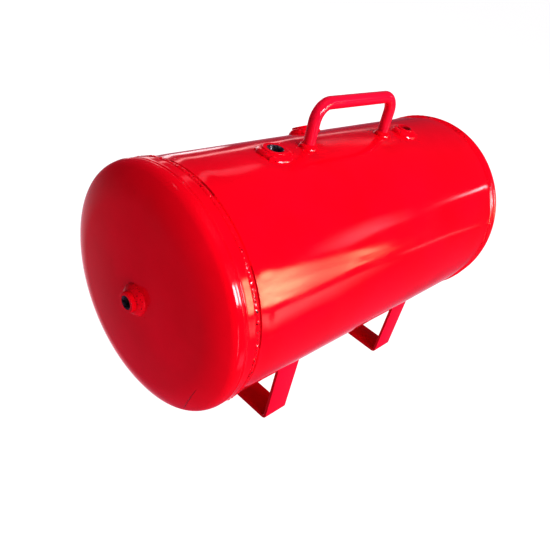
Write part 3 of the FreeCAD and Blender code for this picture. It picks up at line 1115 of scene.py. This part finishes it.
reflector("warm_window", FRONT_LEFT, 2.0, (1.0, 0.74, 0.42), 12.0, 0.1, 0.16, (
    (-0.66, 0.10, -0.56, 1.30, 1.2),
    (-0.50, 0.10, -0.34, 1.16, 1.3),
    (-0.39, 0.09, -0.23, 1.00, 1.0),
    (-0.29, 0.08, -0.10, 0.80, 0.40),
    (-0.14, 0.14, -0.01, 0.70, 0.34),
    (-0.05, 0.20, 0.05, 0.62, 0.62),
    (0.04, 0.19, 0.10, 0.48, 0.66),
    (0.15, 0.22, 0.15, 0.28, 0.1),
))
reflector("window_glint", FRONT_LEFT, 1.99, (1.0, 0.78, 0.4), 5.0, 0.4, 0.4, (
    (-0.02, 0.28, 0.0, 0.42, 0.0),
    (0.06, 0.22, 0.08, 0.36, 1.0),
    (0.16, 0.20, 0.16, 0.30, 0.2),
))
reflector("sill", FRONT_LEFT, 2.0, (1.0, 0.62, 0.5), 5.0, 0.8, 0.12, (
    (-0.56, -0.70, -0.52, -0.03, 1.0),
    (-0.38, -0.66, -0.40, -0.03, 0.9),
    (-0.21, -0.57, -0.26, -0.02, 0.6),
    (-0.07, -0.52, -0.1, 0.03, 0.4),
    (0.0, -0.40, 0.01, 0.03, 0.25),
    (0.16, -0.20, 0.15, -0.02, 0.1),
))
reflector("upper_glow", FRONT_LEFT, 2.0, (1.0, 0.92, 0.95), 2.0, 0.15, 0.5, (
    (-0.06, 0.95, -0.02, 1.10, 0.0),
    (0.02, 0.74, 0.08, 1.20, 0.8),
    (0.10, 0.76, 0.25, 1.26, 1.0),
    (0.20, 0.79, 0.36, 1.26, 1.0),
    (0.28, 0.77, 0.45, 1.20, 0.6),
    (0.38, 0.74, 0.52, 1.10, 0.0),
))
reflector("thin_strip", FRONT_LEFT, 2.0, (1.0, 0.8, 0.75), 2.2, 0.5, 0.3, (
    (0.18, 0.03, 0.18, 0.09, 0.0),
    (0.24, 0.0, 0.24, 0.07, 1.0),
    (0.36, 0.0, 0.37, 0.07, 0.8),
    (0.45, -0.02, 0.46, 0.06, 0.5),
    (0.60, -0.12, 0.60, -0.03, 0.0),
))
reflector("far_strip", FRONT_LEFT, 2.0, (1, 0.88, 0.92), 9.0, 0.4, 0.35, (
    (0.54, 0.795, 0.57, 0.835, 0.0),
    (0.60, 0.765, 0.64, 0.820, 0.30),
    (0.66, 0.725, 0.71, 0.795, 0.6),
    (0.73, 0.690, 0.78, 0.760, 1.0),
    (0.84, 0.630, 0.90, 0.700, 0.8),
))
reflector("back_low", BACK, 2.6, (1, 0.97, 1.0), 1.7, 0.2, 0.3, (
    (0.26, -0.10, 0.29, 0.14, 0.0),
    (0.34, -0.15, 0.37, 0.22, 0.8),
    (0.45, -0.15, 0.48, 0.24, 1.0),
    (0.80, -0.10, 0.84, 0.26, 1.0),
))
reflector("back_high", BACK, 2.6, (1, 0.84, 0.84), 1.6, 0.3, 0.3, (
    (-0.70, 0.70, -0.72, 0.80, 0.0),
    (-0.55, 0.62, -0.56, 0.74, 0.5),
    (-0.38, 0.50, -0.39, 0.63, 0.6),
    (-0.20, 0.42, -0.21, 0.60, 0.6),
    (-0.06, 0.34, -0.04, 0.50, 0.8),
    (0.10, 0.44, 0.12, 0.66, 0.9),
    (0.20, 0.49, 0.22, 0.76, 1.0),
    (0.30, 0.50, 0.32, 0.78, 1.0),
    (0.44, 0.58, 0.46, 0.86, 0.9),
    (0.72, 0.70, 0.76, 0.95, 0.7),
))
reflector("roof_panel", BACK, 2.6, (1, 0.8, 0.9), 0.75, 0.12, 0.2, (
    (-0.46, 2.20, -0.48, 2.45, 0.0),
    (-0.28, 1.80, -0.36, 2.40, 1.0),
    (-0.05, 1.86, -0.12, 2.42, 1.0),
    (0.14, 1.95, 0.06, 2.45, 1.0),
    (0.26, 1.85, 0.20, 2.40, 0.0),
))
reflector("roof_far", BACK, 2.6, (1, 0.8, 0.9), 0.4, 0.15, 0.4, (
    (-0.16, 0.80, -0.30, 1.35, 0.0),
    (-0.26, 0.84, -0.45, 1.43, 1.0),
    (-0.53, 1.13, -1.00, 1.72, 1.0),
    (-0.80, 1.30, -1.30, 1.80, 0.7),
    (-1.00, 1.50, -1.50, 1.90, 0.0),
))
stations = plain_panel((-0.15, -0.07, 0.10, 0.20), -0.30, 1.80)
reflector("back_post", 64, 2.6, (1, 0.9, 0.92), 2.6, 0.1, 0.1, stations)
reflector("side_strip", -90, 2.0, (1, 0.98, 1.0), 32.0, 0.15, 0.15, (
    (-0.40, 0.68, -0.40, 1.36, 0.0),
    (-0.30, 0.66, -0.30, 1.38, 1.0),
    (0.26, 0.66, 0.26, 1.38, 1.0),
    (0.36, 0.68, 0.36, 1.36, 0.0),
))
reflector("window_head", FRONT_LEFT, 1.98, (1, 0.74, 0.82), 15.0, 0.1, 0.2, (
    (-1.12, 0.40, -1.10, 1.25, 0.0),
    (-0.98, 0.36, -0.95, 1.34, 1.0),
    (-0.68, 0.36, -0.58, 1.36, 1.0),
))
stations = plain_panel((-0.16, -0.06, 0.06, 0.16), -1.00, 0.20)
reflector("side_sill", -106, 2.0, (1, 0.6, 0.7), 4.0, 0.2, 0.2, stations)
stations = plain_panel((-0.62, -0.40, 0.40, 0.62), -1.40, -0.50)
reflector("low_glow", -75, 1.6, (1, 0.62, 0.80), 1.3, 0.3, 0.3, stations)
# A high white panel that puts small glints on the top of the front girth bead.
stations = plain_panel((-0.16, -0.05, 0.05, 0.16), 2.10, 2.50)
reflector("bore_glint", 116, 1.2, (1, 1, 1), 6.0, 0.3, 0.3, stations)

middle = Vector((0, 0, 0.2))
softbox("key", (-0.05, -1.95, 1.35), middle, (1.5, 1.1), 40)
softbox("top", (0.1, -0.5, 2.3), middle, (1.2, 1.2), 14)
softbox("fill", (0.7, 1.9, 0.9), middle, (1.4, 1.0), 16)

view = bpy.context.scene.view_settings
view.view_transform = "Standard"
view.look = "High Contrast"

# The camera: its place, and the way its right side and its back face.
camera_data = bpy.data.cameras.new("camera")
camera_data.sensor_width = 36
camera_data.lens = 36.207
camera_data.shift_x = -0.0161
camera_data.shift_y = 0.1173
camera_data.clip_start = 0.01
camera_data.clip_end = 60
camera = link_object("camera", camera_data)
eye = Vector((-0.51516, -0.35397, 0.5243))
right = Vector((0.68381, -0.69844, 0.21117))
back = Vector((-0.64498, -0.44326, 0.62251))
up = back.cross(right)
camera.matrix_world = Matrix((right, up, back)).transposed().to_4x4()
camera.location = eye
bpy.context.scene.camera = camera
